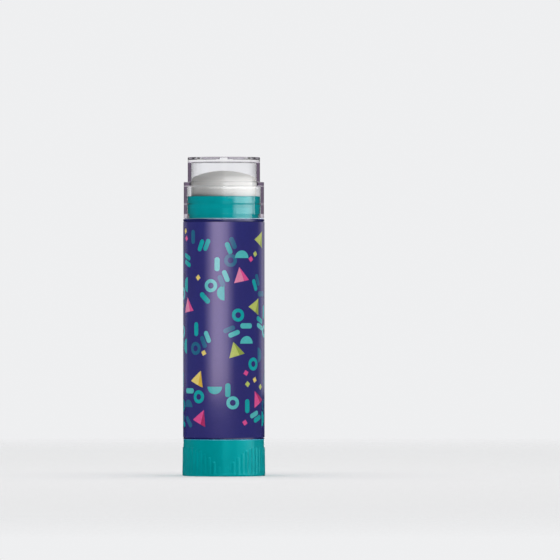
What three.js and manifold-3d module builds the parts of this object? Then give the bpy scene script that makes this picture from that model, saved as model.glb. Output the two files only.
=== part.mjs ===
// Twist-up stick eraser: a white eraser stick in a round pocket holder.
// Turning the knob at the foot turns a lead screw inside; a keyed carrier climbs
// the screw and pushes the stick out through the collar. A clear stepped cap
// pushes over the collar.
//
// Units are millimetres, +Z up. The origin is the centre of the knob's foot, on
// the plane that the holder stands on; the front of the holder faces -Y.
import * as THREE from 'three';
import { mergeVertices } from 'three/addons/utils/BufferGeometryUtils.js';
import Module from 'manifold-3d';

const wasm = await Module();
wasm.setup();

// ---------------------------------------------------------------- dimensions
const SIDES = 48; // facets round the fixed and sliding pieces

// twist knob
const KNOB_R_FOOT = 8.3, KNOB_R_TOP = 8.2, KNOB_H = 7.32;
const KNOB_FLOOR = 1.4, KNOB_CAVITY_R = 7.25, KNOB_LIP_R = 6.95, KNOB_LIP_Z = 5.7;
const KNOB_RECESS_R = 5.5, KNOB_RECESS = 0.3;
const HUB_R = 3.6, HUB_TOP = 5.0, SOCKET_Z = 1.0, SOCKET_AF = 3.6;
const RIB_COUNT = 52, RIB_DEPTH = 0.18, RIB_FOOT = 0.6;
const RIB_LOW = 1.05, RIB_HIGH = 5.9, RIB_SPREAD = 52; // lowest and highest rib end, and the half-angle of the smooth thumb mark

// lead screw: left-hand thread, so turning the knob to the right raises the stick
const LEAD = 4.0, SCREW_R = 2.5, SCREW_ROOT = 1.6, SCREW_TOP = 49.5;
const CREST = 0.9, FLANK = 0.6, THREAD_SIDES = 24;
const TAIL_AF = 3.4, TAIL_Z = 1.2, FLANGE_R = 4.6, FLANGE_Z = 5.2, FLANGE_T = 1.4;
const JOURNAL_R = 3.0, JOURNAL_TOP = 8.9;

// barrel
const BARREL_Z = 7.4, BARREL_TOP = 51.34, BARREL_R = 8.15, PANEL_R = 8.0;
const PANEL_Z0 = 7.6, PANEL_Z1 = 50.84, BORE_R = 6.75;
const BULKHEAD_Z0 = 6.8, BULKHEAD_Z1 = 8.6, BULKHEAD_HOLE = 3.3;
const SPIGOT_R = 6.8, SPIGOT_BORE = 5.8, SPIGOT_Z = 2.0, BEAD_R = 7.1;
const KEYS = 3, KEYWAY_W = 2.2, KEYWAY_R = 7.45, SEAT_Z = 48.2, SEAT_R = 7.35;

// printed wrap on the barrel's panel
const WRAP_R0 = 8.03, WRAP_R1 = 8.15, WRAP_Z0 = 7.68, WRAP_Z1 = 50.76;

// collar
const COLLAR_R = 7.25, COLLAR_BORE = 6.75, COLLAR_Z = 48.35, COLLAR_TOP = 55.9;
const COLLAR_BEAD_R = 7.38, COLLAR_BEAD_Z = 54.45;

// carrier
const CARRIER_Z = 10.6, CARRIER_TOP = 13.8, CARRIER_R = 6.55;
const LUG_R = 7.25, LUG_W = 1.8, LUG_H = 1.6;
const NUT_Z = 9.0, NUT_R = 4.0, NUT_TOP = 15.0, NUT_GAP = 0.28;
const BOSS_R = 3.3, BOSS_TOP = 20.0, BOSS_BORE = 2.85;

// eraser stick
const ERASER_R = 6.5, ERASER_Z = 13.95, ERASER_TOP = 60.8;
const DOME_R = 15.5, DOME_EDGE = 1.3;
const ERASER_SOCKET_R = 3.45, ERASER_SOCKET_TOP = 20.6, ERASER_BORE = 2.8, ERASER_BORE_TOP = 50.2;

// cap
const CAP_Z = 51.42, CAP_TOP = 63.7, CAP_SKIRT_R = 8.02, CAP_SKIRT_BORE = 7.42;
const CAP_STEP_Z = 58.72, CAP_STEP_T = 0.97, CAP_R = 7.22, CAP_BORE = 6.6, CAP_ROOF = 0.9;
const CAP_LEAD_IN = 0.28, CAP_LEAD_IN_H = 0.9; // bevel inside the lower edge, which guides the cap over the collar's bead
const POCKETS = 8, POCKET_R0 = 5.2, POCKET_R1 = 6.3, POCKET_DEPTH = 0.5, POCKET_SPAN = 30;

// ------------------------------------------------------------------- helpers
const RAD = Math.PI / 180;

// A closed geometry as a solid; faces of no area on the axis drop out.
function solid(geometry) {
  const g = geometry.clone();
  g.deleteAttribute('normal');
  g.deleteAttribute('uv');
  const m = mergeVertices(g, 1e-4);
  const src = m.index.array;
  const keep = [];
  for (let i = 0; i < src.length; i += 3) {
    const [a, b, c] = [src[i], src[i + 1], src[i + 2]];
    if (a !== b && b !== c && c !== a) keep.push(a, b, c);
  }
  return new wasm.Manifold(new wasm.Mesh({
    numProp: 3,
    vertProperties: new Float32Array(m.attributes.position.array),
    triVerts: new Uint32Array(keep),
  }));
}

function geometryOf(body) {
  const mesh = body.getMesh();
  const g = new THREE.BufferGeometry();
  g.setAttribute('position', new THREE.BufferAttribute(new Float32Array(mesh.vertProperties), 3));
  g.setIndex(new THREE.BufferAttribute(new Uint32Array(mesh.triVerts), 1));
  const flat = g.toNonIndexed();
  flat.computeVertexNormals();
  return flat;
}

// A profile of [radius, z] turned about Z. The profile runs up its outer side.
function turned(profile, sides = SIDES) {
  const points = profile.map(([r, z]) => new THREE.Vector2(r, z));
  return solid(new THREE.LatheGeometry(points, sides).rotateX(Math.PI / 2));
}

function ring(profile, sides = SIDES) {
  return turned([...profile, profile[0]], sides);
}

// A straight hexagonal bar along Z, across flats af.
function hexBar(af, z0, z1) {
  const r = af / Math.sqrt(3);
  return solid(new THREE.CylinderGeometry(r, r, z1 - z0, 6).rotateX(Math.PI / 2).translate(0, 0, (z0 + z1) / 2));
}

// A block on the +X side, turned about Z by the given angle.
function radialBlock(r0, r1, width, z0, z1, angle) {
  const g = new THREE.BoxGeometry(r1 - r0, width, z1 - z0);
  g.translate((r0 + r1) / 2, 0, (z0 + z1) / 2);
  return solid(g.rotateZ(angle));
}

// An arc-shaped block between two radii, centred on the given angle.
function arcBlock(r0, r1, span, z0, z1, angle, steps = 6) {
  const shape = new THREE.Shape();
  for (let i = 0; i <= steps; i++) {
    const a = -span / 2 + (span * i) / steps;
    if (i === 0) shape.moveTo(r1 * Math.cos(a), r1 * Math.sin(a));
    else shape.lineTo(r1 * Math.cos(a), r1 * Math.sin(a));
  }
  for (let i = steps; i >= 0; i--) {
    const a = -span / 2 + (span * i) / steps;
    shape.lineTo(r0 * Math.cos(a), r0 * Math.sin(a));
  }
  shape.closePath();
  const g = new THREE.ExtrudeGeometry(shape, { depth: z1 - z0, bevelEnabled: false });
  return solid(g.translate(0, 0, z0).rotateZ(angle));
}

// A left-hand threaded bar. profile is one pitch of [axial place, radius], from the
// middle of one root to the middle of the next; turns pitches are stacked from z0.
function threadedBar(profile, pitch, z0, turns, sides) {
  const P = profile.length;
  const levels = P * turns;
  const position = [];
  const column = [];
  const radiusAt = (j) => profile[((j % P) + P) % P][1];
  const placeAt = (j) => profile[((j % P) + P) % P][0] + pitch * Math.floor(j / P);
  for (let i = 0; i < sides; i++) {
    const a = (2 * Math.PI * i) / sides;
    const first = i === 0 ? -P : 0;
    column.push({ base: position.length / 3, first });
    for (let j = first; j <= levels; j++) {
      const r = radiusAt(j);
      position.push(r * Math.cos(a), r * Math.sin(a), z0 + placeAt(j) - (pitch * i) / sides);
    }
  }
  const at = (i, j) => (i === sides ? column[0].base + (j - P) - column[0].first : column[i].base + j - column[i].first);
  const index = [];
  for (let i = 0; i < sides; i++) {
    for (let j = 0; j < levels; j++) {
      const a = at(i, j), b = at(i + 1, j), c = at(i + 1, j + 1), d = at(i, j + 1);
      index.push(a, b, c, a, c, d);
    }
  }
  const close = (j, up) => {
    const rim = [];
    for (let i = 0; i <= sides; i++) rim.push(at(i, j));
    for (let k = j - P + 1; k < j; k++) rim.push(at(0, k));
    const hub = position.length / 3;
    position.push(0, 0, z0 + placeAt(j) - pitch / 2);
    for (let k = 0; k < rim.length; k++) {
      const a = rim[k], b = rim[(k + 1) % rim.length];
      if (up) index.push(hub, a, b);
      else index.push(hub, b, a);
    }
  };
  close(0, false);
  close(levels, true);
  const g = new THREE.BufferGeometry();
  g.setAttribute('position', new THREE.BufferAttribute(new Float32Array(position), 3));
  g.setIndex(index);
  return solid(g);
}

// One pitch of thread, widened all round by gap.
function threadProfile(gap) {
  const half = CREST / 2 + gap, foot = half + FLANK, mid = LEAD / 2;
  const top = SCREW_R + gap, root = SCREW_ROOT + gap;
  return [[0, root], [mid - foot, root], [mid - half, top], [mid + half, top], [mid + foot, root]];
}

const parts = new THREE.Group();
parts.name = 'twist_up_eraser';
function add(name, body, colour, roughness, metalness = 0, extra = {}) {
  const mesh = new THREE.Mesh(
    geometryOf(body),
    new THREE.MeshStandardMaterial({ color: colour, roughness, metalness, ...extra }),
  );
  mesh.name = name;
  parts.add(mesh);
}

// ---------------------------------------------------------------- twist knob
// A cup with upright finger ribs. The ribs end on an arch, which leaves a smooth
// thumb mark at the front and at the back.
function knobBody() {
  const columns = RIB_COUNT * 2;
  const outer = (z) => KNOB_R_FOOT + ((KNOB_R_TOP - KNOB_R_FOOT) * z) / KNOB_H;
  const ribEnd = (a) => {
    const fromFront = Math.abs(((a / RAD + 90) % 180 + 180) % 180);
    const off = Math.min(fromFront, 180 - fromFront);
    return RIB_LOW + (RIB_HIGH - RIB_LOW) * Math.sin(Math.min(off / RIB_SPREAD, 1) * 90 * RAD);
  };
  const position = [];
  let levels = 0;
  for (let i = 0; i < columns; i++) {
    const a = (2 * Math.PI * i) / columns;
    const cut = i % 2 === 0 ? RIB_DEPTH : 0;
    const end = ribEnd(a);
    const low = Math.min(RIB_FOOT, end - 0.4);
    const wall = [
      [KNOB_RECESS_R - 0.1, KNOB_RECESS], [KNOB_RECESS_R, 0], [KNOB_R_FOOT - 0.3, 0], [outer(0.3), 0.3],
      [outer(low) - cut, low], [outer(end - 0.3) - cut, end - 0.3], [outer(end), end],
      [outer(KNOB_H - 0.15), KNOB_H - 0.15], [KNOB_R_TOP - 0.15, KNOB_H],
      [KNOB_LIP_R + 0.2, KNOB_H], [KNOB_LIP_R, KNOB_H - 0.2], [KNOB_LIP_R, KNOB_LIP_Z + 0.2],
      [KNOB_CAVITY_R, KNOB_LIP_Z - 0.1], [KNOB_CAVITY_R, KNOB_FLOOR], [HUB_R, KNOB_FLOOR], [HUB_R, HUB_TOP],
    ];
    levels = wall.length;
    for (const [r, z] of wall) position.push(r * Math.cos(a), r * Math.sin(a), z);
  }
  const foot = position.length / 3;
  position.push(0, 0, KNOB_RECESS, 0, 0, HUB_TOP);
  const index = [];
  for (let i = 0; i < columns; i++) {
    const p = i * levels, q = ((i + 1) % columns) * levels;
    for (let j = 0; j < levels - 1; j++) {
      index.push(p + j, q + j, q + j + 1, p + j, q + j + 1, p + j + 1);
    }
    index.push(foot, q, p);
    index.push(foot + 1, p + levels - 1, q + levels - 1);
  }
  const g = new THREE.BufferGeometry();
  g.setAttribute('position', new THREE.BufferAttribute(new Float32Array(position), 3));
  g.setIndex(index);
  return solid(g).subtract(hexBar(SOCKET_AF, SOCKET_Z, HUB_TOP + 0.5));
}
add('twist_knob', knobBody(), 0x00878c, 0.42);

// ---------------------------------------------------------------- lead screw
function screwBody() {
  const turns = Math.ceil((SCREW_TOP - JOURNAL_TOP) / LEAD) + 4;
  const bar = threadedBar(threadProfile(0), LEAD, JOURNAL_TOP - 2 * LEAD, turns, THREAD_SIDES);
  const span = turned([
    [0, JOURNAL_TOP - 0.6], [SCREW_R + 0.4, JOURNAL_TOP - 0.6], [SCREW_R + 0.4, SCREW_TOP - 1.5],
    [SCREW_R - 0.7, SCREW_TOP], [0, SCREW_TOP],
  ], THREAD_SIDES);
  const base = turned([
    [0, FLANGE_Z], [FLANGE_R - 0.2, FLANGE_Z], [FLANGE_R, FLANGE_Z + 0.2], [FLANGE_R, FLANGE_Z + FLANGE_T - 0.2],
    [FLANGE_R - 0.2, FLANGE_Z + FLANGE_T], [JOURNAL_R, FLANGE_Z + FLANGE_T], [JOURNAL_R, JOURNAL_TOP], [0, JOURNAL_TOP],
  ]);
  return bar.intersect(span).add(base).add(hexBar(TAIL_AF, TAIL_Z, FLANGE_Z + 0.4));
}
add('lead_screw', screwBody(), 0xe9e9e6, 0.45);

// ------------------------------------------------------------------- carrier
function carrierBody() {
  let body = turned([
    [0, NUT_Z], [NUT_R, NUT_Z], [NUT_R, CARRIER_Z], [CARRIER_R - 0.15, CARRIER_Z], [CARRIER_R, CARRIER_Z + 0.15],
    [CARRIER_R, CARRIER_TOP - 0.15], [CARRIER_R - 0.15, CARRIER_TOP], [BOSS_R, CARRIER_TOP],
    [BOSS_R, BOSS_TOP - 0.4], [BOSS_R - 0.2, BOSS_TOP], [0, BOSS_TOP],
  ]);
  for (let k = 0; k < KEYS; k++) {
    body = body.add(radialBlock(CARRIER_R - 0.9, LUG_R, LUG_W, CARRIER_Z, CARRIER_Z + LUG_H, 30 * RAD + (k * 2 * Math.PI) / KEYS));
  }
  const z0 = JOURNAL_TOP - 2 * LEAD;
  const bar = threadedBar(threadProfile(NUT_GAP), LEAD, z0, 6, THREAD_SIDES);
  const span = turned([[0, NUT_Z - 0.5], [SCREW_R + 1, NUT_Z - 0.5], [SCREW_R + 1, NUT_TOP + 0.2], [0, NUT_TOP + 0.2]], THREAD_SIDES);
  const bore = turned([[0, NUT_TOP], [BOSS_BORE, NUT_TOP], [BOSS_BORE, BOSS_TOP + 0.5], [0, BOSS_TOP + 0.5]], THREAD_SIDES);
  return body.subtract(bar.intersect(span)).subtract(bore);
}
add('carrier', carrierBody(), 0xdfe2e4, 0.5);

// -------------------------------------------------------------- eraser stick
function eraserBody() {
  const centre = ERASER_TOP - DOME_R;
  const cr = ERASER_R - DOME_EDGE;
  const cz = centre + Math.sqrt((DOME_R - DOME_EDGE) ** 2 - cr ** 2);
  const meet = Math.atan2(cz - centre, cr);
  const profile = [
    [0, ERASER_BORE_TOP + 0.7], [ERASER_BORE, ERASER_BORE_TOP], [ERASER_BORE, ERASER_SOCKET_TOP],
    [ERASER_SOCKET_R, ERASER_SOCKET_TOP], [ERASER_SOCKET_R, ERASER_Z], [ERASER_R - 0.3, ERASER_Z], [ERASER_R, ERASER_Z + 0.3],
  ];
  for (let i = 0; i <= 4; i++) {
    const a = (meet * i) / 4;
    profile.push([cr + DOME_EDGE * Math.cos(a), cz + DOME_EDGE * Math.sin(a)]);
  }
  for (let i = 1; i <= 4; i++) {
    const a = meet + ((Math.PI / 2 - meet) * i) / 4;
    profile.push([i === 4 ? 0 : DOME_R * Math.cos(a), centre + DOME_R * Math.sin(a)]);
  }
  return turned(profile);
}
add('eraser_stick', eraserBody(), 0xf4f3f0, 0.75);

// -------------------------------------------------------------------- barrel
function barrelBody() {
  let body = ring([
    [SPIGOT_BORE, SPIGOT_Z], [SPIGOT_R - 0.25, SPIGOT_Z], [SPIGOT_R, SPIGOT_Z + 0.3], [SPIGOT_R, 3.7],
    [BEAD_R, 4.1], [BEAD_R, 5.0], [SPIGOT_R, 5.4], [SPIGOT_R, BARREL_Z],
    [BARREL_R - 0.1, BARREL_Z], [BARREL_R, BARREL_Z + 0.1], [BARREL_R, PANEL_Z0], [PANEL_R, PANEL_Z0],
    [PANEL_R, PANEL_Z1], [BARREL_R, PANEL_Z1], [BARREL_R, BARREL_TOP - 0.1], [BARREL_R - 0.1, BARREL_TOP],
    [SEAT_R, BARREL_TOP], [SEAT_R, SEAT_Z], [BORE_R, SEAT_Z], [BORE_R, BULKHEAD_Z1],
    [BULKHEAD_HOLE, BULKHEAD_Z1], [BULKHEAD_HOLE, BULKHEAD_Z0], [SPIGOT_BORE, BULKHEAD_Z0],
  ]);
  for (let k = 0; k < KEYS; k++) {
    body = body.subtract(radialBlock(BORE_R - 1, KEYWAY_R, KEYWAY_W, BULKHEAD_Z1, SEAT_Z + 0.5, 30 * RAD + (k * 2 * Math.PI) / KEYS));
  }
  return body;
}
add('barrel', barrelBody(), 0x2e306f, 0.35);

// -------------------------------------------------------------- printed wrap
add('printed_wrap', ring([
  [WRAP_R0, WRAP_Z0], [WRAP_R1, WRAP_Z0], [WRAP_R1, WRAP_Z1], [WRAP_R0, WRAP_Z1],
]), 0x34357a, 0.3);

// -------------------------------------------------------------------- collar
add('collar', ring([
  [COLLAR_BORE, COLLAR_Z], [COLLAR_R - 0.1, COLLAR_Z], [COLLAR_R, COLLAR_Z + 0.15],
  [COLLAR_R, COLLAR_BEAD_Z - 0.3], [COLLAR_BEAD_R, COLLAR_BEAD_Z - 0.1], [COLLAR_BEAD_R, COLLAR_BEAD_Z + 0.1],
  [COLLAR_R, COLLAR_BEAD_Z + 0.3], [COLLAR_R, COLLAR_TOP - 0.2], [COLLAR_R - 0.2, COLLAR_TOP], [COLLAR_BORE, COLLAR_TOP],
]), 0x009298, 0.3);

// ----------------------------------------------------------------------- cap
function capBody() {
  const under = CAP_TOP - CAP_ROOF;
  let body = turned([
    [0, under], [CAP_BORE - 0.2, under], [CAP_BORE, under - 0.2], [CAP_BORE, CAP_STEP_Z - CAP_STEP_T],
    [CAP_SKIRT_BORE, CAP_STEP_Z - CAP_STEP_T], [CAP_SKIRT_BORE, CAP_Z + CAP_LEAD_IN_H], [CAP_SKIRT_BORE + CAP_LEAD_IN, CAP_Z],
    [CAP_SKIRT_R - 0.1, CAP_Z], [CAP_SKIRT_R, CAP_Z + 0.1],
    [CAP_SKIRT_R, CAP_STEP_Z - 0.15], [CAP_SKIRT_R - 0.15, CAP_STEP_Z], [CAP_R, CAP_STEP_Z],
    [CAP_R, CAP_TOP - 0.25], [CAP_R - 0.25, CAP_TOP], [0, CAP_TOP],
  ]);
  for (let k = 0; k < POCKETS; k++) {
    const angle = (360 / POCKETS) * (k + 0.5) * RAD;
    body = body.subtract(arcBlock(POCKET_R0, POCKET_R1, POCKET_SPAN * RAD, CAP_TOP - POCKET_DEPTH, CAP_TOP + 0.5, angle));
  }
  return body;
}
add('cap', capBody(), 0xdfe8f0, 0.08, 0, { transparent: true, opacity: 0.3 });

export default parts;
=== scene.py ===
import bisect
import math
import random

import bpy
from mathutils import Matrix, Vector


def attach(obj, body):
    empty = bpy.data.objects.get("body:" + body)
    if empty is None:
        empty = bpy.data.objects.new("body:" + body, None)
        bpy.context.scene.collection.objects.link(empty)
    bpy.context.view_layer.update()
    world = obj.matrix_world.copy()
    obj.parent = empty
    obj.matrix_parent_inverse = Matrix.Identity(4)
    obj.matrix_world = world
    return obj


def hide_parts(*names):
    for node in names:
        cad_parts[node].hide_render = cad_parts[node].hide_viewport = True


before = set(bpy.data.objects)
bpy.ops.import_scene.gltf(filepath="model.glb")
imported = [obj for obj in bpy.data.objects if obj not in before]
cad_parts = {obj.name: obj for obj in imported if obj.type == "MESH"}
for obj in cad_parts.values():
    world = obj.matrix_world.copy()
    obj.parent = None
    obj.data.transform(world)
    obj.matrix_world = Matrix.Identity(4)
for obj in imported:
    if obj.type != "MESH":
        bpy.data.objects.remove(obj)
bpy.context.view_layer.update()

MM = 0.001
TAU = 2 * math.pi
scene = bpy.context.scene


# ------------------------------------------------------------------ mesh tools
def smooth(a, b, x):
    """0 below a, 1 above b, and an S between them."""
    t = min(1.0, max(0.0, (x - a) / (b - a)))
    return t * t * (3 - 2 * t)


def make_object(name, verts, faces, body, node=None, mats=(), sharp=40):
    """A closed mesh in millimetres becomes a piece that rides on a body."""
    mesh = bpy.data.meshes.new(name)
    mesh.from_pydata([(x * MM, y * MM, z * MM) for x, y, z in verts], [], faces)
    mesh.validate()
    for p in mesh.polygons:
        p.use_smooth = True
    mesh.set_sharp_from_angle(angle=math.radians(sharp))
    for m in mats:
        mesh.materials.append(m)
    obj = bpy.data.objects.new(name, mesh)
    scene.collection.objects.link(obj)
    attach(obj, body)
    if node:
        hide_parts(node)
    return obj


def rounded(points, closed, seg=5, guard=0.05):
    """Rounds the corners of a profile of (r, z, corner radius). Short guard edges beside each corner keep the flats flat in smooth shading."""
    n = len(points)
    out = []

    def put(p):
        if not out or math.dist(out[-1], p) > 1e-4:
            out.append(p)

    for i, (r, z, f) in enumerate(points):
        if not closed and i in (0, n - 1):
            put((r, z))
            continue
        a, b = points[i - 1], points[(i + 1) % n]
        da, db = math.dist((r, z), a[:2]), math.dist((r, z), b[:2])
        ua = ((a[0] - r) / da, (a[1] - z) / da)
        ub = ((b[0] - r) / db, (b[1] - z) / db)
        turn = math.acos(max(-1.0, min(1.0, ua[0] * ub[0] + ua[1] * ub[1])))
        if f <= 0 or abs(turn - math.pi) < 1e-3:
            put((r, z))
            continue
        t = min(f / math.tan(turn / 2), 0.45 * da, 0.45 * db)
        f = t * math.tan(turn / 2)
        bis = (ua[0] + ub[0], ua[1] + ub[1])
        bl = math.hypot(*bis)
        h = math.hypot(f, t)
        c = (r + bis[0] / bl * h, z + bis[1] / bl * h)
        pa = (r + ua[0] * t, z + ua[1] * t)
        pb = (r + ub[0] * t, z + ub[1] * t)
        g = min(guard, 0.5 * (0.5 * da - t)) if 0.5 * da > t else 0
        if g > 0.004:
            put((pa[0] + ua[0] * g, pa[1] + ua[1] * g))
        t0 = math.atan2(pa[1] - c[1], pa[0] - c[0])
        t1 = math.atan2(pb[1] - c[1], pb[0] - c[0])
        d = (t1 - t0 + math.pi) % TAU - math.pi
        for k in range(seg + 1):
            w = t0 + d * k / seg
            put((c[0] + f * math.cos(w), c[1] + f * math.sin(w)))
        g = min(guard, 0.5 * (0.5 * db - t)) if 0.5 * db > t else 0
        if g > 0.004:
            put((pb[0] + ub[0] * g, pb[1] + ub[1] * g))
    return out


def columns(angles, rows_at, pole_low=None, pole_high=None):
    """Verts and faces of a body whose profile may change with the angle. rows_at(angle) gives (r, z) rows that run up the outer side.
    Without poles the profile closes on itself; with poles it starts and ends on the axis at those heights."""
    verts, faces = [], []
    rows = 0
    for a in angles:
        prof = rows_at(a)
        rows = len(prof)
        ca, sa = math.cos(a), math.sin(a)
        verts.extend((r * ca, r * sa, z) for r, z in prof)
    n = len(angles)
    ring = pole_low is None
    for i in range(n):
        p, q = i * rows, ((i + 1) % n) * rows
        for j in range(rows - 1):
            faces.append((p + j, q + j, q + j + 1, p + j + 1))
        if ring:
            faces.append((p + rows - 1, q + rows - 1, q, p))
    if not ring:
        lo = len(verts)
        verts.append((0, 0, pole_low))
        verts.append((0, 0, pole_high))
        for i in range(n):
            p, q = i * rows, ((i + 1) % n) * rows
            faces.append((lo, q, p))
            faces.append((p + rows - 1, q + rows - 1, lo + 1))
    return verts, faces


def even(n, start=0.0):
    return [start + TAU * i / n for i in range(n)]


def with_marks(n, marks, near):
    """n even angles, with the marks put in and the even ones close to a mark left out."""
    keep = [a for a in even(n) if all(abs((a - m + math.pi) % TAU - math.pi) > near for m in marks)]
    return sorted(keep + [m % TAU for m in marks])


def away(a, centre):
    """The unsigned angle between a and centre."""
    return abs((a - centre + math.pi) % TAU - math.pi)


def hexagon(af, a):
    """Radius of a hexagon across flats af with a flat facing angle 0."""
    f = (a + math.pi / 6) % (math.pi / 3) - math.pi / 6
    return af / 2 / math.cos(f)


# ------------------------------------------------------------------- materials
def lin(r, g, b):
    def one(c):
        c /= 255.0
        return c / 12.92 if c <= 0.04045 else ((c + 0.055) / 1.055) ** 2.4
    return (one(r), one(g), one(b), 1.0)


def base_material(name):
    m = bpy.data.materials.new(name)
    m.use_nodes = True
    nt = m.node_tree
    nt.nodes.clear()
    out = nt.nodes.new("ShaderNodeOutputMaterial")
    p = nt.nodes.new("ShaderNodeBsdfPrincipled")
    nt.links.new(p.outputs["BSDF"], out.inputs["Surface"])
    return m, nt, p, out


def noise(nt, scale, detail=3.0, rough=0.55, stretch=None):
    tc = nt.nodes.new("ShaderNodeTexCoord")
    n = nt.nodes.new("ShaderNodeTexNoise")
    n.inputs["Scale"].default_value = scale
    n.inputs["Detail"].default_value = detail
    n.inputs["Roughness"].default_value = rough
    if stretch:
        mp = nt.nodes.new("ShaderNodeMapping")
        mp.inputs["Scale"].default_value = stretch
        nt.links.new(tc.outputs["Object"], mp.inputs["Vector"])
        nt.links.new(mp.outputs["Vector"], n.inputs["Vector"])
    else:
        nt.links.new(tc.outputs["Object"], n.inputs["Vector"])
    return n.outputs["Fac"]


def spread(nt, value, lo, hi, a=0.3, b=0.7):
    r = nt.nodes.new("ShaderNodeMapRange")
    r.inputs["From Min"].default_value = a
    r.inputs["From Max"].default_value = b
    r.inputs["To Min"].default_value = lo
    r.inputs["To Max"].default_value = hi
    nt.links.new(value, r.inputs["Value"])
    return r.outputs["Result"]


def mix_colour(nt, fac, a, b):
    x = nt.nodes.new("ShaderNodeMix")
    x.data_type = "RGBA"
    ins = [s for s in x.inputs if s.enabled]
    nt.links.new(fac, ins[0])
    for s, v in ((ins[1], a), (ins[2], b)):
        if isinstance(v, tuple):
            s.default_value = v
        else:
            nt.links.new(v, s)
    return [s for s in x.outputs if s.enabled][0]


def bump(nt, p, height, strength, distance):
    b = nt.nodes.new("ShaderNodeBump")
    b.inputs["Strength"].default_value = strength
    b.inputs["Distance"].default_value = distance
    nt.links.new(height, b.inputs["Height"])
    nt.links.new(b.outputs["Normal"], p.inputs["Normal"])


def moulded(name, a, b, rough, grain=5000, depth=4e-6, spec=0.5, mottle=260, tint=(1, 1, 1, 1)):
    """Opaque moulded plastic: two near tints in a slow mottle, a fine spark grain in the roughness and the bump."""
    m, nt, p, out = base_material(name)
    nt.links.new(mix_colour(nt, spread(nt, noise(nt, mottle, 3), 0, 1), a, b), p.inputs["Base Color"])
    fine = noise(nt, grain, 2)
    nt.links.new(spread(nt, fine, rough[0], rough[1]), p.inputs["Roughness"])
    p.inputs["Specular IOR Level"].default_value = spec
    p.inputs["Specular Tint"].default_value = tint
    p.inputs["IOR"].default_value = 1.49
    bump(nt, p, fine, 0.5, depth)
    return m


mat_knob = moulded("teal_satin_plastic", lin(0, 141, 145), lin(0, 147, 152), (0.13, 0.2), depth=1.2e-6, tint=(0.05, 1, 1, 1))
# the knob's top edge: the same teal painted lighter and bluer, a painted highlight along the rounded edge
mat_knob_edge_highlight = moulded("teal_edge_painted_highlight", lin(62, 164, 200), lin(68, 170, 208), (0.22, 0.3), depth=1.2e-6)
mat_collar = moulded("teal_gloss_plastic", lin(0, 142, 147), lin(0, 148, 153), (0.1, 0.16), depth=1e-6, tint=(0.05, 1, 1, 1))
mat_navy = moulded("navy_plastic", lin(28, 33, 90), lin(33, 38, 98), (0.16, 0.24), depth=1.5e-6)
mat_natural = moulded("natural_plastic", lin(226, 226, 221), lin(234, 234, 230), (0.38, 0.5), depth=4e-6)


def film_material():
    """Printed navy ground under a thin varnish: a slow drift between indigo and blue and the grain of the print."""
    m, nt, p, out = base_material("printed_film_navy")
    slow = spread(nt, noise(nt, 70, 2), 0, 1, 0.35, 0.65)
    ground = mix_colour(nt, slow, lin(56, 52, 125), lin(49, 55, 134))
    speck = spread(nt, noise(nt, 7000, 1), 0, 1, 0.35, 0.65)
    dark = mix_colour(nt, speck, lin(47, 49, 120), ground)
    nt.links.new(dark, p.inputs["Base Color"])
    nt.links.new(spread(nt, noise(nt, 2600, 2), 0.19, 0.25), p.inputs["Roughness"])
    p.inputs["Specular IOR Level"].default_value = 1.0
    p.inputs["Specular Tint"].default_value = (1.0, 0.8, 0.95, 1)
    p.inputs["IOR"].default_value = 1.7
    bump(nt, p, noise(nt, 900, 2), 0.25, 3e-6)
    return m


mat_film = film_material()


def ink_material(name, rgb):
    """One ink of the print: a faint halftone in its tint and the varnish's own gloss."""
    m, nt, p, out = base_material(name)
    r, g, b = rgb
    fac = spread(nt, noise(nt, 6000, 1), 0, 1, 0.3, 0.7)
    a = lin(r * 0.94, g * 0.95, b * 0.96)
    c = lin(min(255, r * 1.03 + 2), min(255, g * 1.02 + 2), min(255, b * 1.02 + 2))
    nt.links.new(mix_colour(nt, fac, a, c), p.inputs["Base Color"])
    nt.links.new(spread(nt, noise(nt, 2600, 2), 0.19, 0.25), p.inputs["Roughness"])
    p.inputs["Specular IOR Level"].default_value = 1.0
    p.inputs["Specular Tint"].default_value = (1.0, 0.8, 0.95, 1)
    p.inputs["IOR"].default_value = 1.7
    bump(nt, p, noise(nt, 900, 2), 0.25, 3e-6)
    return m


def eraser_material():
    """White vinyl: matt and powdery, with a faint warm mottle, soft light inside and a fine grain."""
    m, nt, p, out = base_material("white_eraser_vinyl")
    slow = spread(nt, noise(nt, 300, 4), 0, 1)
    base = mix_colour(nt, slow, lin(241, 240, 236), lin(247, 246, 243))
    speck = spread(nt, noise(nt, 9000, 1), 0, 1, 0.28, 0.45)
    nt.links.new(mix_colour(nt, speck, lin(226, 225, 221), base), p.inputs["Base Color"])
    nt.links.new(spread(nt, noise(nt, 2500, 3), 0.55, 0.75), p.inputs["Roughness"])
    p.inputs["Subsurface Weight"].default_value = 0.12
    p.inputs["Subsurface Radius"].default_value = (0.8, 0.7, 0.6)
    p.inputs["Subsurface Scale"].default_value = 0.0008
    p.inputs["Specular IOR Level"].default_value = 0.35
    bump(nt, p, noise(nt, 4200, 4, 0.65), 0.6, 9e-6)
    return m


mat_eraser = eraser_material()


def clear_material():
    """Clear polystyrene: a faint cool tint and fine handling scuffs."""
    m, nt, p, out = base_material("clear_plastic")
    p.inputs["Base Color"].default_value = (0.985, 0.985, 0.998, 1)
    p.inputs["Transmission Weight"].default_value = 1.0
    p.inputs["IOR"].default_value = 1.49
    p.inputs["Specular IOR Level"].default_value = 0.5
    scuff = noise(nt, 900, 3, 0.6, stretch=(1, 1, 0.25))
    nt.links.new(spread(nt, scuff, 0.02, 0.06, 0.45, 0.75), p.inputs["Roughness"])
    bump(nt, p, noise(nt, 420, 2), 0.12, 4e-6)
    return m


mat_clear = clear_material()


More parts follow.
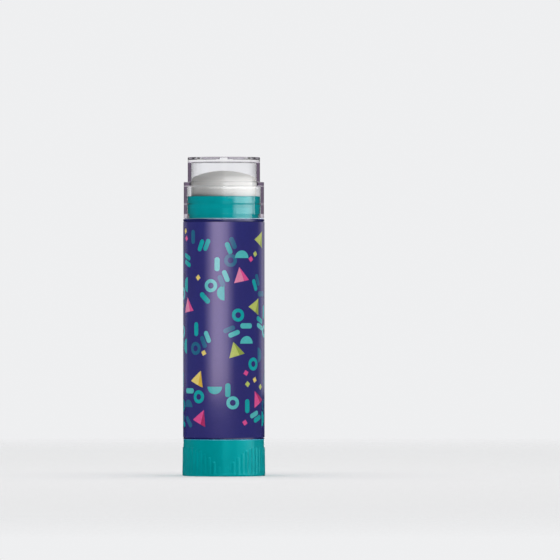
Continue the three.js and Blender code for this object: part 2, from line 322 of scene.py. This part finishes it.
def clear_edge_highlight_material():
    """The cap's lower edge: the same plastic left matt where the mould closes, so that it catches the light, and tinted
    a pale blue-white as a painted highlight along the rim.
    """
    m, nt, p, out = base_material("clear_plastic_edge_painted_highlight")
    fac = spread(nt, noise(nt, 1500, 3), 0, 1)
    nt.links.new(mix_colour(nt, fac, lin(196, 212, 238), lin(214, 226, 245)), p.inputs["Base Color"])
    p.inputs["Transmission Weight"].default_value = 0.1
    p.inputs["IOR"].default_value = 1.49
    nt.links.new(spread(nt, noise(nt, 3000, 2), 0.3, 0.45), p.inputs["Roughness"])
    bump(nt, p, noise(nt, 5000, 2), 0.4, 3e-6)
    return m


mat_clear_edge_highlight = clear_edge_highlight_material()

# ------------------------------------------------------------------ twist knob
FRONT, BACK = -math.pi / 2, math.pi / 2
RIBS, RIB = 52, 0.09


def rib_end(a):
    """Where the rib at this angle ends: low at the thumb marks at the front and the back, level between them."""
    off = math.degrees(min(away(a, FRONT), away(a, BACK)))
    return 1.05 + 4.85 * math.sin(math.radians(min(off / 52.0, 1.0) * 90))


def knob_rows(a):
    pitch = TAU / RIBS
    k = round((a - FRONT) / pitch)
    off = abs((a - FRONT) - k * pitch) / (pitch / 2)  # 0 on a rib's crest, 1 in the middle between two ribs
    at = FRONT + k * pitch
    mark = math.degrees(min(away(at, FRONT), away(at, BACK)))
    rib = (1 - smooth(0.10, 0.92, off)) * smooth(3.0, 14.0, mark)
    end = rib_end(FRONT + k * pitch)
    near = rib_end(FRONT + (k + (1 if (a - FRONT) > k * pitch else -1)) * pitch)
    end = end + (near - end) * 0.5 * smooth(0.7, 1.0, off)

    def wall(z):
        return 8.294 - 0.1 * z / 7.32

    def cut(z):
        return RIB * smooth(0.24, 0.74, z) * (1 - rib * (1 - smooth(end - 0.36, end, z)))

    rows = rounded([(0, 0.3, 0), (0.9, 0.3, 0.1), (1.05, 0.12, 0.08), (1.6, 0.12, 0.08), (1.75, 0.3, 0.1),
                    (5.35, 0.3, 0.1), (5.5, 0, 0.1), (8.29, 0, 0.26), (8.29, 0.6, 0)], False, 4)[1:-1]
    zs = [0.30, 0.38, 0.46, 0.54, 0.62, 0.68, 0.74]
    top = max(0.80, end - 0.55)
    zs += [0.74 + (top - 0.74) * t for t in (0.25, 0.5, 0.75, 1.0)]
    zs += [top + (end - top) * t for t in (0.15, 0.3, 0.45, 0.6, 0.72, 0.84, 0.93, 1.0)]
    zs += [end + 0.08, end + (6.7 - end) * 0.5, 6.7, 7.02]
    last = rows[-1][1]
    rows += [(wall(z) - cut(z), z) for z in zs if z > last + 0.01 or z > 0.34]
    inner = rounded([(8.195 - RIB, 7.05, 0), (8.195 - RIB, 7.37, 0.19), (6.95, 7.37, 0.2), (6.95, 5.85, 0.05), (7.25, 5.55, 0.05),
                     (7.25, 1.4, 0.3), (3.6, 1.4, 0.3), (3.6, 5.0, 0.12), (2.6, 5.0, 0)], False, 4)[1:]
    rows += inner
    s = hexagon(3.6, a)
    rows += [(s + 0.1, 5.0), (s, 4.9), (s, 1.0), (s * 0.5, 1.0)]
    return rows


v, f = columns(even(RIBS * 12, FRONT), knob_rows, 0.3, 1.0)
knob = make_object("twist_knob_ribbed", v, f, "knob", "twist_knob", [mat_knob, mat_knob_edge_highlight], 50)
# the faces round the knob's upper edge take the painted highlight
for face in knob.data.polygons:
    c = face.center / MM
    if c.z > 7.12 and math.hypot(c.x, c.y) > 7.6:
        face.material_index = 1

# ------------------------------------------------------------------ lead screw
LEAD = 4.0


def thread(a, z, gap):
    """Radius of the left-hand thread, rounded at the crest and the root, opened all round by gap."""
    u = (z - 0.9 + LEAD * a / TAU) % LEAD
    d = abs(u - LEAD / 2)
    return 1.6 + gap + 0.9 * (1 - smooth(0.40 + gap, 1.10 + gap, d))


def screw_rows(a):
    h = hexagon(3.4, a)
    rows = [(h * 0.55, 1.2), (h - 0.15, 1.2), (h, 1.35), (h, 5.0), (h, 5.2)]
    rows += rounded([(2.4, 5.2, 0), (4.6, 5.2, 0.2), (4.6, 6.6, 0.2), (3.0, 6.6, 0.1), (3.0, 8.9, 0.12), (2.7, 8.9, 0)], False, 4)
    z = 8.9
    while z < 49.45:
        limit = 2.9 if z < 48.0 else 2.9 - (z - 48.0) / 1.5 * 1.1
        rows.append((min(thread(a, z, 0.0), limit), z))
        z += 0.125
    tip = min(thread(a, 49.4, 0.0), 1.8)
    rows += [(tip, 49.45), (tip - 0.05, 49.5), (tip * 0.5, 49.5)]
    return rows


v, f = columns(even(72), screw_rows, 1.2, 49.5)
screw = make_object("lead_screw_turned", v, f, "knob", "lead_screw", [mat_natural], 50)

# --------------------------------------------------------------------- carrier
KEYS = [math.radians(30 + 120 * k) for k in range(3)]


def carrier_rows(a):
    lug = min(away(a, k) for k in KEYS) < math.radians(7.5)
    rows = rounded([(3.4, 9.0, 0), (4.0, 9.0, 0.15), (4.0, 10.6, 0.2), (5.9, 10.6, 0)], False, 4)
    if lug:
        rows += [(6.55, 10.6), (7.1, 10.6), (7.25, 10.75), (7.25, 12.05), (7.1, 12.2), (6.6, 12.2), (6.55, 12.25)]
    else:
        rows += [(6.4, 10.6), (6.5, 10.64), (6.55, 10.75), (6.55, 12.05), (6.55, 12.15), (6.55, 12.2), (6.55, 12.25)]
    rows += rounded([(6.55, 12.5, 0), (6.55, 13.8, 0.15), (3.3, 13.8, 0.2), (3.3, 20.0, 0.3), (2.85, 20.0, 0.1), (2.85, 15.3, 0)], False, 4)
    z = 15.0
    while z > 9.04:
        rows.append((thread(a, z, 0.28), z))
        z -= 0.12
    rows.append((thread(a, 9.0, 0.28), 9.0))
    return rows


marks = [k + s * math.radians(d) for k in KEYS for s in (-1, 1) for d in (7.13, 7.9)]
v, f = columns(with_marks(72, marks, 0.02), carrier_rows)
carrier = make_object("carrier_moulded", v, f, "carrier", "carrier", [mat_natural], 40)

# ---------------------------------------------------------------- eraser stick
DOME, EDGE, TOP = 15.5, 1.3, 61.0


def eraser_rows(a):
    rows = rounded([(0, 50.9, 0), (2.8, 50.2, 0.2), (2.8, 20.6, 0.1), (3.45, 20.6, 0.1), (3.45, 13.95, 0.2),
                    (6.5, 13.95, 0.35), (6.5, 15.5, 0)], False, 4)[1:]
    c = TOP - DOME
    cr = 6.5 - EDGE
    cz = c + math.sqrt((DOME - EDGE) ** 2 - cr ** 2)
    meet = math.atan2(cz - c, cr)
    rows += [(6.5, 15.5 + (cz - 15.5) * t) for t in (0.1, 0.3, 0.5, 0.7, 0.85, 0.95, 0.99)]
    for i in range(15):
        w = meet * i / 14
        rows.append((cr + EDGE * math.cos(w), cz + EDGE * math.sin(w)))
    for i in range(1, 16):
        w = meet + (math.pi / 2 - meet) * i / 16
        rows.append((DOME * math.cos(w), c + DOME * math.sin(w)))
    return rows


v, f = columns(even(192), eraser_rows, 50.9, TOP)
eraser = make_object("eraser_stick_domed", v, f, "eraser", "eraser_stick", [mat_eraser], 40)

# ---------------------------------------------------------------------- barrel


def barrel_rows(a):
    keyway = min(away(a, k) for k in KEYS) < math.radians(9.0)
    rows = rounded([(5.8, 2.0, 0.15), (6.8, 2.0, 0.25), (6.8, 3.7, 0.1), (7.1, 4.1, 0.1), (7.1, 5.0, 0.1), (6.8, 5.4, 0.1),
                    (6.8, 7.4, 0.1), (8.15, 7.4, 0.04), (8.15, 7.6, 0.018), (8.0, 7.6, 0.02), (8.0, 50.84, 0.02), (8.15, 50.84, 0.04),
                    (8.15, 51.34, 0.12), (7.35, 51.34, 0.12), (7.35, 49.0, 0)], False, 4)[1:]
    if keyway:
        rows += [(7.35, 48.75), (7.38, 48.7), (7.45, 48.7), (7.45, 48.2), (7.45, 48.1), (7.45, 8.9), (7.45, 8.6)]
    else:
        rows += [(7.35, 48.75), (7.35, 48.7), (7.35, 48.2), (6.85, 48.2), (6.75, 48.1), (6.75, 8.9), (6.75, 8.6)]
    rows += rounded([(6.2, 8.6, 0), (3.3, 8.6, 0.15), (3.3, 6.8, 0.15), (5.8, 6.8, 0.2), (5.8, 2.4, 0)], False, 4)
    return rows


marks = [k + s * math.radians(d) for k in KEYS for s in (-1, 1) for d in (8.49, 9.38)]
v, f = columns(with_marks(180, marks, 0.01), barrel_rows)
barrel = make_object("barrel_moulded", v, f, "barrel", "barrel", [mat_navy], 40)

# ---------------------------------------------------------------- printed wrap
WRAP_R = 8.15


def wrap_rows(a):
    seam = 0.05 * (1 - smooth(0.0006, 0.0042, away(a, BACK)))  # the film's butt joint at the back
    r = WRAP_R - seam
    return [(8.03, 7.7), (8.05, 7.68), (r - 0.03, 7.68), (r - 0.008, 7.69), (r, 7.71), (r, 7.8), (r, 18.0), (r, 29.0), (r, 40.0), (r, 50.66),
            (r, 50.73), (r - 0.008, 50.75), (r - 0.03, 50.76), (8.05, 50.76), (8.03, 50.74)]


marks = [BACK + d for d in (-0.006, -0.0042, -0.0024, -0.0006, 0.0006, 0.0024, 0.0042, 0.006)]
v, f = columns(with_marks(240, marks, 0.008), wrap_rows)
wrap = make_object("printed_wrap_film", v, f, "barrel", "printed_wrap", [mat_film], 50)

# the print: small flat motifs scattered round the film, each a thin layer of ink that follows the barrel
INK_TOP, INK_LOW = WRAP_R + 0.008, WRAP_R - 0.03


class Ink:
    def __init__(self):
        self.v, self.f = [], []

    def vert(self, u, z, r):
        a = FRONT + u / WRAP_R
        self.v.append((r * math.cos(a), r * math.sin(a), z))
        return len(self.v) - 1

    def face(self, *ids):
        seen = []
        for i in ids:
            if i not in seen:
                seen.append(i)
        if len(seen) > 2:
            self.f.append(tuple(seen))

    def convex(self, poly, step=0.22):
        """A convex outline of (u, z), cut into upright strips so that it bends with the barrel."""
        us = [p[0] for p in poly]
        lo, hi = min(us), max(us)
        cuts = sorted(us)
        k = math.ceil(lo / step)
        while k * step < hi:
            bisect.insort(cuts, k * step)
            k += 1
        clean = []
        for u in cuts:
            if not clean or u - clean[-1] > 1e-3:
                clean.append(u)
        clean[-1] = hi
        span = []
        for u in clean:
            zs = []
            for i in range(len(poly)):
                (ua, za), (ub, zb) = poly[i - 1], poly[i]
                if abs(ua - ub) < 1e-9:
                    if abs(u - ua) < 1e-9:
                        zs += [za, zb]
                    continue
                t = (u - ua) / (ub - ua)
                if -1e-6 <= t <= 1 + 1e-6:
                    zs.append(za + (zb - za) * min(1, max(0, t)))
            span.append((u, min(zs), max(zs)))
        ids = []
        for u, a, b in span:
            if b - a < 1e-4:
                m = (a + b) / 2
                t, l = self.vert(u, m, INK_TOP), self.vert(u, m, INK_LOW)
                ids.append((t, t, l, l))
            else:
                ids.append((self.vert(u, a, INK_TOP), self.vert(u, b, INK_TOP), self.vert(u, a, INK_LOW), self.vert(u, b, INK_LOW)))
        for p, q in zip(ids, ids[1:]):
            self.face(p[0], q[0], q[1], p[1])
            self.face(p[3], q[3], q[2], p[2])
            self.face(p[2], q[2], q[0], p[0])
            self.face(p[1], q[1], q[3], p[3])
        a, b = ids[0], ids[-1]
        if a[0] != a[1]:
            self.face(a[2], a[0], a[1], a[3])
        if b[0] != b[1]:
            self.face(b[3], b[1], b[0], b[2])

    def annulus(self, u, z, r_out, r_in, n=44):
        rings = []
        for k in range(n):
            c, s = math.cos(TAU * k / n), math.sin(TAU * k / n)
            rings.append([self.vert(u + r * c, z + r * s, h) for r, h in ((r_in, INK_TOP), (r_out, INK_TOP), (r_out, INK_LOW), (r_in, INK_LOW))])
        for k in range(n):
            p, q = rings[k], rings[(k + 1) % n]
            for i in range(4):
                j = (i + 1) % 4
                self.face(p[i], p[j], q[j], q[i])


def turn(points, u, z, angle):
    c, s = math.cos(angle), math.sin(angle)
    return [(u + x * c - y * s, z + x * s + y * c) for x, y in points]


def half_disc(r, n=20):
    return [(r * math.cos(math.pi * k / n), r * math.sin(math.pi * k / n) - 0.42 * r) for k in range(n + 1)]


def bar(length, width, n=10):
    h, r = length / 2 - width / 2, width / 2
    pts = [(h + r * math.cos(-math.pi / 2 + math.pi * k / n), r * math.sin(-math.pi / 2 + math.pi * k / n)) for k in range(n + 1)]
    pts += [(-h + r * math.cos(math.pi / 2 + math.pi * k / n), r * math.sin(math.pi / 2 + math.pi * k / n)) for k in range(n + 1)]
    return pts


def triangle(r):
    return [(r * math.cos(math.radians(90 + 120 * k)), r * math.sin(math.radians(90 + 120 * k))) for k in range(3)]


inks = {
    "ink_teal": (0, 176, 178), "ink_aqua": (84, 200, 200), "ink_slate": (34, 110, 146),
    "ink_yellow": (252, 224, 122), "ink_gold": (233, 190, 66), "ink_pink": (240, 86, 156), "ink_rose": (190, 47, 108),
    "ink_blush": (250, 146, 184), "ink_lime": (202, 216, 108), "ink_olive": (158, 178, 76),
}
layers = {k: Ink() for k in inks}
rng = random.Random(41)
placed = []


def place(radius, gap, tries=4000):
    """A free spot (u, z) for a motif, clear of the seam at the back and of the other motifs."""
    half = math.pi * WRAP_R
    for _ in range(tries):
        u = rng.uniform(-half + radius + 0.4, half - radius - 0.4)
        z = rng.uniform(8.9 + radius, 49.7 - radius)
        if all(math.hypot(u - pu, z - pz) > radius + pr + gap for pu, pz, pr in placed):
            placed.append((u, z, radius))
            return u, z
    return None


pairs = [("ink_yellow", "ink_gold"), ("ink_pink", "ink_rose"), ("ink_lime", "ink_olive"), ("ink_blush", "ink_pink")]
for i in range(14):
    spot = place(1.75, 2.4)
    if spot:
        lean = rng.uniform(-0.6, 0.6)
        light, dark = pairs[i % 4]
        t = triangle(1.95)
        shift = ((t[1][0] + t[2][0]) / 2 + 0.5, (t[1][1] + t[2][1]) / 2)
        layers[light].convex(turn([t[0], t[1], shift], *spot, lean))
        layers[dark].convex(turn([t[0], shift, t[2]], *spot, lean))
teals = ["ink_teal", "ink_aqua", "ink_teal", "ink_slate", "ink_teal", "ink_slate", "ink_aqua"]


def near(centre, radius, gap, reach, tries=300):
    """A free spot for a motif close to a cluster's centre."""
    half = math.pi * WRAP_R
    for k in range(tries):
        w, d = rng.uniform(0, TAU), reach * (0.25 + 0.75 * k / tries) * math.sqrt(rng.random())
        u, z = centre[0] + d * math.cos(w), centre[1] + d * math.sin(w)
        if abs(u) < half - radius - 0.4 and 8.9 + radius < z < 49.7 - radius:
            if all(math.hypot(u - pu, z - pz) > radius + pr + gap for pu, pz, pr in placed):
                placed.append((u, z, radius))
                return u, z
    return None


centres = []
for _ in range(900):
    u, z = rng.uniform(-24, 24), rng.uniform(11, 47.5)
    if all(math.hypot(u - cu, z - cz) > 6.6 for cu, cz in centres):
        centres.append((u, z))
i = 0
for c in centres:
    for _ in range(rng.choice((2, 3, 4, 5))):
        kind = i % 4
        spot = near(c, (1.25, 1.2, 1.5, 1.3)[kind], 0.12, 4.2)
        i += 1
        if not spot:
            continue
        ink, other = layers[teals[i % 7]], layers[teals[(i + 3) % 7]]
        way = rng.choice((0, 1, 2, 3)) * math.pi / 2
        if kind == 0:
            ink.annulus(*spot, 1.3, 0.6)
        elif kind == 1:
            ink.convex(turn(half_disc(1.5), *spot, way))
        elif kind == 2:
            slant = way / 2 + math.pi / 8
            ink.convex(turn([(x - 0.3, y + 0.6) for x, y in bar(2.5, 0.95)], *spot, slant))
            other.convex(turn([(x + 0.3, y - 0.6) for x, y in bar(2.5, 0.95)], *spot, slant))
        else:
            ink.convex(turn(bar(2.8, 1.05), *spot, way / 2 + math.pi / 4))
for i in range(20):
    spot = place(0.55, 0.4)
    if spot:
        s = 0.62
        layers[("ink_yellow", "ink_pink", "ink_lime")[i % 3]].convex(turn([(s, 0), (0, s), (-s, 0), (0, -s)], *spot, rng.uniform(-0.3, 0.3)))
print_pieces = []
for key, rgb in inks.items():
    print_pieces.append(make_object("print_" + key, layers[key].v, layers[key].f, "barrel", None, [ink_material(key, rgb)], 40))

# ---------------------------------------------------------------------- collar
prof = rounded([(6.75, 48.35, 0.1), (7.25, 48.35, 0.12), (7.25, 53.5, 0.8), (7.38, 54.2, 0.6), (7.38, 54.3, 0.6), (7.25, 55.0, 0.8),
                (7.25, 55.9, 0.16), (6.75, 55.9, 0.14)], True, 5)
v, f = columns(even(240), lambda a: prof)
collar = make_object("collar_ring", v, f, "barrel", "collar", [mat_collar], 50)

# ------------------------------------------------------------------------- cap
POCKETS = [math.radians(45 * (k + 0.5)) for k in range(8)]
cap_wall = rounded([(0, 62.8, 0), (6.6, 62.8, 0.3), (6.6, 57.9, 0.08), (7.42, 57.9, 0.08), (7.42, 54.47, 0.02), (7.46, 54.31, 0.02), (7.42, 54.15, 0.02), (7.42, 52.32, 0.2), (7.7, 51.37, 0.05), (8.02, 51.37, 0.09),
                    (8.02, 54.17, 0.02), (7.975, 54.31, 0.02), (8.02, 54.45, 0.02), (8.02, 58.72, 0.14), (7.22, 58.72, 0.12), (7.22, 63.7, 0.16), (6.6, 63.7, 0)],
                   False, 6)[1:]


def cap_rows(a):
    inside = min(away(a, k) for k in POCKETS)
    across = 1 - smooth(math.radians(14.2), math.radians(15.4), inside)
    top = []
    for r in (6.45, 6.38, 6.34, 6.30, 6.26, 6.22, 6.15, 5.9, 5.6, 5.35, 5.28, 5.24, 5.20, 5.16, 5.12, 5.05, 4.0, 2.5, 1.0):
        d = 0.5 * across * smooth(5.13, 5.27, r) * (1 - smooth(6.23, 6.37, r))
        top.append((r, 63.7 - d))
    return cap_wall + top


marks = []
for k in POCKETS:
    for s in (-1, 1):
        marks += [k + s * math.radians(d) for d in (14.0, 14.4, 14.8, 15.2, 15.6)]
v, f = columns(with_marks(240, marks, 0.006), cap_rows, 62.8, 63.7)
cap = make_object("cap_clear", v, f, "cap", "cap", [mat_clear, mat_clear_edge_highlight], 50)
# the faces of the cap's lower edge take the matt, pale blue-white painted highlight
for face in cap.data.polygons:
    c = face.center / MM
    if c.z < 51.46:
        face.material_index = 1
# light passes the clear wall on its way to the pieces inside
cap.visible_shadow = False
cap.visible_diffuse = False
cap.visible_glossy = False

# ----------------------------------------------------------------------- stage
def floor_object():
    n, verts, faces = 64, [(0, 0, 0)], []
    radii = [0.03, 0.08, 0.15, 0.25, 0.4, 0.7]
    for r in radii:
        for k in range(n):
            verts.append((r * math.cos(TAU * k / n), r * math.sin(TAU * k / n), 0))
    for k in range(n):
        faces.append((0, 1 + k, 1 + (k + 1) % n))
    for j in range(len(radii) - 1):
        for k in range(n):
            a, b = 1 + j * n + k, 1 + j * n + (k + 1) % n
            faces.append((a, a + n, b + n, b))
    mesh = bpy.data.meshes.new("floor")
    mesh.from_pydata(verts, [], faces)
    obj = bpy.data.objects.new("floor", mesh)
    scene.collection.objects.link(obj)
    m = bpy.data.materials.new("pale_floor")
    m.use_nodes = True
    nt = m.node_tree
    nt.nodes.clear()
    out = nt.nodes.new("ShaderNodeOutputMaterial")
    d = nt.nodes.new("ShaderNodeBsdfDiffuse")
    d.inputs["Color"].default_value = (0.86, 0.86, 0.865, 1)
    t = nt.nodes.new("ShaderNodeBsdfTransparent")
    x = nt.nodes.new("ShaderNodeMixShader")
    tc = nt.nodes.new("ShaderNodeTexCoord")
    ln = nt.nodes.new("ShaderNodeVectorMath")
    ln.operation = "LENGTH"
    nt.links.new(tc.outputs["Object"], ln.inputs[0])
    far = spread(nt, ln.outputs["Value"], 0, 1, 0.05, 0.45)
    geo = nt.nodes.new("ShaderNodeNewGeometry")
    clear = nt.nodes.new("ShaderNodeMath")
    clear.operation = "MAXIMUM"
    nt.links.new(far, clear.inputs[0])
    nt.links.new(geo.outputs["Backfacing"], clear.inputs[1])
    nt.links.new(clear.outputs["Value"], x.inputs["Fac"])
    lp = nt.nodes.new("ShaderNodeLightPath")
    k = nt.nodes.new("ShaderNodeMath")
    k.operation = "MULTIPLY"
    k.inputs[1].default_value = 1.0
    nt.links.new(lp.outputs["Is Glossy Ray"], k.inputs[0])
    e = nt.nodes.new("ShaderNodeBsdfDiffuse")
    e.inputs["Color"].default_value = (0.02, 0.02, 0.022, 1)
    y = nt.nodes.new("ShaderNodeMixShader")
    nt.links.new(k.outputs["Value"], y.inputs["Fac"])
    nt.links.new(d.outputs["BSDF"], y.inputs[1])
    nt.links.new(e.outputs["BSDF"], y.inputs[2])
    nt.links.new(y.outputs["Shader"], x.inputs[1])
    nt.links.new(t.outputs["BSDF"], x.inputs[2])
    nt.links.new(x.outputs["Shader"], out.inputs["Surface"])
    mesh.materials.append(m)
    return obj


floor = floor_object()

world = bpy.data.worlds.new("studio")
scene.world = world
world.use_nodes = True
wt = world.node_tree
wt.nodes.clear()


def background(colour, strength):
    n = wt.nodes.new("ShaderNodeBackground")
    n.inputs["Color"].default_value = (*colour, 1)
    n.inputs["Strength"].default_value = strength
    return n.outputs["Background"]


def pick(fac, a, b):
    n = wt.nodes.new("ShaderNodeMixShader")
    wt.links.new(fac, n.inputs["Fac"])
    wt.links.new(a, n.inputs[1])
    wt.links.new(b, n.inputs[2])
    return n.outputs["Shader"]


# a pale backdrop for the eye, a dim even room for the fill, and a dark room for the reflections
path = wt.nodes.new("ShaderNodeLightPath")
wo = wt.nodes.new("ShaderNodeOutputWorld")
first = wt.nodes.new("ShaderNodeMath")
first.operation = "LESS_THAN"
first.inputs[1].default_value = 2.5
wt.links.new(path.outputs["Ray Depth"], first.inputs[0])
way = wt.nodes.new("ShaderNodeTexCoord")
axes = wt.nodes.new("ShaderNodeSeparateXYZ")
wt.links.new(way.outputs["Generated"], axes.inputs["Vector"])
far_side = spread(wt, axes.outputs["Y"], 0, 1, 0.28, 0.46)
behind = pick(spread(wt, axes.outputs["Z"], 0, 1, 0.12, 0.3), background((0.9, 0.69, 1.0), 0.2), background((0.86, 0.8, 0.9), 0.75))
behind = pick(spread(wt, axes.outputs["Z"], 1, 0, -0.2, -0.1), behind, background((0.86, 0.8, 0.9), 1.1))
deep = pick(far_side, background((0.8, 0.8, 1.0), 0.02), behind)
dark = pick(first.outputs["Value"], deep, background((0.8, 0.8, 1.0), 0.02))
inside = wt.nodes.new("ShaderNodeMath")
inside.operation = "COMPARE"
inside.inputs[1].default_value = 4
inside.inputs[2].default_value = 0.5
wt.links.new(path.outputs["Ray Depth"], inside.inputs[0])
dark = pick(inside.outputs["Value"], dark, background((0.8, 0.8, 1.0), 0.02))
room = pick(path.outputs["Is Glossy Ray"], background((0.98, 0.99, 1.0), 0.15), dark)
room = pick(path.outputs["Is Transmission Ray"], room, background((0.86, 0.865, 0.875), 1.0))
room = pick(path.outputs["Is Camera Ray"], room, background((0.86, 0.865, 0.875), 1.0))
wt.links.new(room, wo.inputs["Surface"])


def group(name, objs):
    c = bpy.data.collections.new(name)
    for o in objs:
        c.objects.link(o)
    return c


film = [wrap, *print_pieces]
lit_film = group("lit_film", film)
lit_navy = group("lit_navy", [barrel, *film])
lit_teal = group("lit_teal", [knob, collar, carrier, screw])
lit_gloss = group("lit_gloss", [knob, collar, carrier, screw, barrel])
lit_eraser = group("lit_eraser", [eraser])
lit_cap = group("lit_cap", [cap])
lit_floor = group("lit_floor", [floor])
lit_collar = group("lit_collar", [collar])
lit_top = group("lit_top", [barrel, *film, knob, carrier, screw, floor])
lit_edges = group("lit_edges", [barrel])
lit_rim = group("lit_rim", [knob])


def span(az0, az1, distance):
    """Azimuth and width of a panel that covers az0 to az1 at a distance."""
    return (az0 + az1) / 2, 2 * distance * math.tan(math.radians((az1 - az0) / 2))


def panel(name, azimuth, distance, z, width, height, radiance, only=None, colour=(1, 1, 1), aim_z=None, gloss=True, diffuse=True):
    """A soft light panel round the object. Azimuth 0 is the camera's side and 90 the right."""
    a = math.radians(azimuth)
    pos = Vector((distance * math.sin(a), -distance * math.cos(a), z))
    aim = Vector((0, 0, z if aim_z is None else aim_z))
    d = bpy.data.lights.new(name, "AREA")
    d.shape = "RECTANGLE"
    d.size, d.size_y = width, height
    d.energy = radiance * math.pi * width * height
    d.color = colour
    o = bpy.data.objects.new(name, d)
    o.location = pos
    o.rotation_euler = (aim - pos).to_track_quat("-Z", "Y").to_euler()
    o.visible_camera = False
    o.visible_glossy = gloss
    o.visible_diffuse = diffuse
    o.visible_transmission = False
    scene.collection.objects.link(o)
    if only:
        o.light_linking.receiver_collection = only
    return o


# even fill on the coloured pieces from three sides, with no reflection of its own
for az, power in ((0, 1.0), (125, 0.9), (-125, 0.9)):
    panel("fill_navy_%d" % az, az, 0.6, 0.06, 0.6, 0.5, 2.3 * power, lit_navy, gloss=False)
    panel("fill_teal_%d" % az, az, 0.6, 0.06, 0.6, 0.5, 3.0 * power, lit_teal, gloss=False)
panel("collar_fill", 0, 0.4, 0.06, 0.3, 0.2, 1.2, lit_collar, gloss=False)
panel("teal_key", 80, 0.30, 0.045, 0.24, 0.3, 1.2, lit_teal, gloss=False)
# the glossy mouldings: panels that show in the gloss from the middle to the right
for name, az0, az1, power in (("gloss_a", -3, 11, 1.8), ("gloss_b", 11, 37, 1.3), ("gloss_c", 37, 62, 2.8), ("gloss_d", 62, 88, 3.6), ("gloss_e", 88, 97, 1.4)):
    az, wide = span(az0, az1, 0.35)
    panel(name, az, 0.35, 0.06, wide, 0.36, power, lit_gloss, diffuse=False)
az, wide = span(163, 192, 0.35)
panel("gloss_back", az, 0.35, 0.06, wide, 0.36, 2.0, lit_gloss, diffuse=False)
# a high panel that draws the upper edges
panel("gloss_high", 26, 0.17, 0.254, 0.7, 0.21, 13.0, lit_edges, (0.85, 0.9, 1.0), aim_z=0.007, diffuse=False)
panel("gloss_rim", 26, 0.17, 0.254, 0.7, 0.21, 7.0, lit_rim, (0.8, 0.87, 1.0), aim_z=0.007, diffuse=False)
# the white stick: light from the right and from above, dark on the left, and its own light at the back
panel("stick_right", 58, 0.30, 0.075, 0.18, 0.20, 5.0, lit_eraser)
panel("stick_top", 20, 0.06, 0.40, 0.2, 0.2, 2.4, lit_eraser, aim_z=0.06)
panel("stick_back", 180, 0.30, 0.075, 0.2, 0.2, 3.0, lit_eraser)
# the cap: a wide bright panel reflected on its right half, a weaker one next to it above the collar, and light from above
soft = ((-6, 24.5), (-2, 29), (2, 33.5))  # each panel is laid in three steps, so that its edges are soft
for name, az0, az1, low, high, power in (*(("cap_right", edge, 88, low, high, power / 3) for _, edge in soft
                                           for low, high, power in ((-0.095, 0.062, 2.1), (0.062, 0.2, 1.0))),
                                         ("cap_right_low", 55, 88, -0.095, 0.0586, 0.4),
                                         *(("cap_mid", az, edge, low, high, power / 3) for az, edge in soft
                                           for low, high, power in ((0.0586, 0.062, 2.2), (0.062, 0.2, 0.8)))):
    az, wide = span(az0, az1, 0.30)
    panel(name, az, 0.30, (low + high) / 2, wide, high - low, power, lit_cap)
# a thin strip of light round the cap's shoulder, which draws a line in its gloss
for az0, az1, power in ((-70, -36, 0.9), (-36, -4, 2.2), (-4, 28, 4.0), (28, 60, 3.0), (60, 90, 2.2)):
    az, wide = span(az0, az1, 0.03)
    panel("cap_line_%d" % az, az, 0.03, 0.05772, wide, 0.0003, power, lit_cap, diffuse=False)
panel("cap_edge_light", 56, 0.25, 0.05, 0.16, 0.2, 8.0, lit_cap, gloss=False)
panel("cap_edge_fill", -40, 0.25, 0.05, 0.16, 0.2, 1.4, lit_cap, gloss=False)
panel("cap_top", 0, 0.02, 0.30, 0.5, 0.5, 0.3, lit_cap, aim_z=0.0)
# the film: a soft band left of the middle that fades out near the foot, and light along both edges
for name, az0, az1, power in (("band_a", -50, 25, 0.5), ("band_b", -42, 16, 0.65), ("band_c", -34, 10, 0.8), ("band_d", -28, -2, 0.65),
                              ("edge_right_a", 110, 150, 0.4), ("edge_right_b", 122, 146, 0.5), ("edge_left", -160, -118, 0.33),
                              ("back_a", 152, 205, 0.5), ("back_b", 160, 196, 0.75), ("back_c", 166, 190, 0.75)):
    az, wide = span(az0, az1, 0.045)
    panel(name, az, 0.045, 0.0455, wide, 0.059, 0.6 * power, lit_film, diffuse=False)
# the coloured pieces from above, and the floor by itself
panel("top_soft", 0, 0.02, 0.42, 0.4, 0.4, 0.7, lit_top, aim_z=0.0)
panel("floor_soft", 0, 0.01, 0.8, 1.2, 1.2, 1.6, lit_floor, aim_z=0.0)

under = panel("under_soft", 0, 0.01, -0.3, 0.3, 0.3, 1.5, group("lit_under", [knob, barrel, *film, collar, carrier, screw, eraser]), aim_z=0.0, gloss=False)
under.light_linking.blocker_collection = group("shade_under", [knob, barrel, carrier, screw, eraser])

cam_data = bpy.data.cameras.new("photo_camera")
cam_data.lens = 600
cam_data.sensor_width = 36
cam_data.clip_start, cam_data.clip_end = 0.05, 20
cam = bpy.data.objects.new("photo_camera", cam_data)
width_m = 560 * 0.2 * MM
dist = width_m * cam_data.lens / cam_data.sensor_width
cam.location = ((280 - 223.85) * 0.2 * MM, -dist, (475.7 - 280) * 0.2 * MM)
cam.rotation_euler = (math.pi / 2, 0, 0)
scene.collection.objects.link(cam)
scene.camera = cam

scene.view_settings.view_transform = "Standard"
scene.view_settings.look = "None"
scene.cycles.caustics_reflective = False
scene.cycles.caustics_refractive = False
